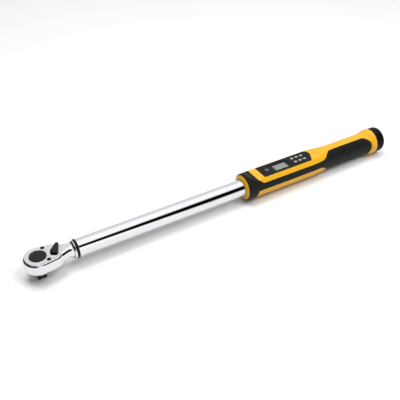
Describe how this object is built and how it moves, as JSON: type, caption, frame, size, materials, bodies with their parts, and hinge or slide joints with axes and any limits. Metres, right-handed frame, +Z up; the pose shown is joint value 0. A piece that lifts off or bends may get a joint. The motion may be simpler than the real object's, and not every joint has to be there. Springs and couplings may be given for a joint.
{
  "type": "torque wrench",
  "caption": "Electronic torque wrench with a reversible square-drive ratchet head, chrome tube, and a handle with display, keys and a screw cap over its batteries.",
  "frame": {"origin": "centre of the drive square's tip face", "axes": "+X from the drive along the tool to the cap, +Z up from the drive tip towards the display side, +Y to the left looking along +X"},
  "size_m": [0.6503, 0.0448, 0.0489],
  "materials": {
    "chrome": "polished chrome plate",
    "black_steel": "black oxide steel, satin",
    "dark_steel": "blackened fastener steel",
    "steel": "ground steel",
    "black_rubber": "soft moulded rubber, fine texture",
    "gauge_foil": "polyimide foil",
    "wire_sleeve": "insulated wire",
    "inner_plastic": "moulded nylon",
    "yellow_plastic": "moulded plastic, fine spark texture",
    "panel_black": "gloss panel",
    "clear_window": "clear window",
    "display_glass": "display, switched off",
    "board_green": "solder mask",
    "component_black": "moulded component",
    "battery_can": "plain printed can",
    "brass": "plated contact",
    "cap_black": "textured plastic",
    "key_light": "light grey key",
    "key_dark": "dark grey key"
  },
  "bodies": {
    "wrench": {"head_housing": "chrome", "cover_plate": "chrome", "neck_collar": "chrome", "tube": "chrome", "cover_screws": "dark_steel", "drive_washer": "steel", "sensor_beam": "steel", "beam_pin": "steel", "housing_screws": "dark_steel", "board_screws": "steel", "neck_seal": "black_rubber", "grip_rubber": "black_rubber", "strain_gauges": "gauge_foil", "gauge_leads": "wire_sleeve", "battery_leads": "wire_sleeve", "tube_bush": "inner_plastic", "battery_tube": "inner_plastic", "front_ring": "yellow_plastic", "upper_housing": "yellow_plastic", "lower_housing": "yellow_plastic", "display_bezel": "panel_black", "lcd_lens": "clear_window", "lcd_module": "display_glass", "circuit_board": "board_green", "processor_chip": "component_black", "key_switches": "component_black", "buzzer": "component_black", "battery_front": "battery_can", "battery_rear": "battery_can", "front_contact": "brass", "contact_strip": "brass"},
    "drive": {"drive_gear": "black_steel", "ball_spring": "steel"},
    "ball": {"retention_ball": "steel"},
    "lever": {"reverse_lever": "black_steel", "plunger_spring": "steel"},
    "plunger": {"lever_plunger": "steel"},
    "pawl": {"pawl": "steel"},
    "cap_carrier": {"contact_carrier": "inner_plastic", "contact_spring": "steel"},
    "cap": {"end_cap": "cap_black", "cap_seal": "black_rubber"},
    "power_key": {"power_button": "key_dark"},
    "unit_key": {"unit_button": "key_light"},
    "mode_key": {"mode_button": "key_light"},
    "up_key": {"up_button": "key_light"},
    "memory_key": {"memory_button": "key_light"},
    "clear_key": {"clear_button": "key_light"},
    "down_key": {"down_button": "key_light"}
  },
  "joints": [
    {"name": "drive_spin", "type": "hinge", "parent": "wrench", "child": "drive", "pos_m": [0, 0, 0], "axis": [0, 0, 1], "continuous": true},
    {"name": "ball_press", "type": "slide", "parent": "drive", "child": "ball", "axis": [0, 1, 0], "range_m": [0, 0.001], "stiffness_N_per_m": 800, "springref_m": -0.001, "deforming": ["ball_spring"]},
    {"name": "lever_turn", "type": "hinge", "parent": "wrench", "child": "lever", "pos_m": [0.025, 0, 0], "axis": [0, 0, 1], "range_deg": [-112, 0]},
    {"name": "plunger_slide", "type": "slide", "parent": "lever", "child": "plunger", "axis": [0.5592, 0.829, 0], "range_m": [0, 0.0007], "stiffness_N_per_m": 400, "springref_m": -0.001, "deforming": ["plunger_spring"]},
    {"name": "pawl_rock", "type": "hinge", "parent": "wrench", "child": "pawl", "pos_m": [0.025, 0, 0], "axis": [0, 0, 1], "range_deg": [0, 9.6]},
    {"name": "cap_travel", "type": "slide", "parent": "wrench", "child": "cap_carrier", "axis": [1, 0, 0], "range_m": [0, 0.006]},
    {"name": "cap_turn", "type": "hinge", "parent": "cap_carrier", "child": "cap", "pos_m": [0, 0, 0.0265], "axis": [1, 0, 0], "range_deg": [0, 1080]},
    {"name": "power_key_press", "type": "slide", "parent": "wrench", "child": "power_key", "axis": [0, 0, -1], "range_m": [0, 0.0005], "stiffness_N_per_m": 1000, "springref_m": -0.0004},
    {"name": "unit_key_press", "type": "slide", "parent": "wrench", "child": "unit_key", "axis": [0, 0, -1], "range_m": [0, 0.0005], "stiffness_N_per_m": 1000, "springref_m": -0.0004},
    {"name": "mode_key_press", "type": "slide", "parent": "wrench", "child": "mode_key", "axis": [0, 0, -1], "range_m": [0, 0.0005], "stiffness_N_per_m": 1000, "springref_m": -0.0004},
    {"name": "up_key_press", "type": "slide", "parent": "wrench", "child": "up_key", "axis": [0, 0, -1], "range_m": [0, 0.0005], "stiffness_N_per_m": 1000, "springref_m": -0.0004},
    {"name": "memory_key_press", "type": "slide", "parent": "wrench", "child": "memory_key", "axis": [0, 0, -1], "range_m": [0, 0.0005], "stiffness_N_per_m": 1000, "springref_m": -0.0004},
    {"name": "clear_key_press", "type": "slide", "parent": "wrench", "child": "clear_key", "axis": [0, 0, -1], "range_m": [0, 0.0005], "stiffness_N_per_m": 1000, "springref_m": -0.0004},
    {"name": "down_key_press", "type": "slide", "parent": "wrench", "child": "down_key", "axis": [0, 0, -1], "range_m": [0, 0.0005], "stiffness_N_per_m": 1000, "springref_m": -0.0004}
  ],
  "couplings": [
    {"joint": "pawl_rock", "follows": "lever_turn", "ratio": -0.085714},
    {"joint": "cap_travel", "follows": "cap_turn", "m_per_rad": 0.00031831}
  ]
}
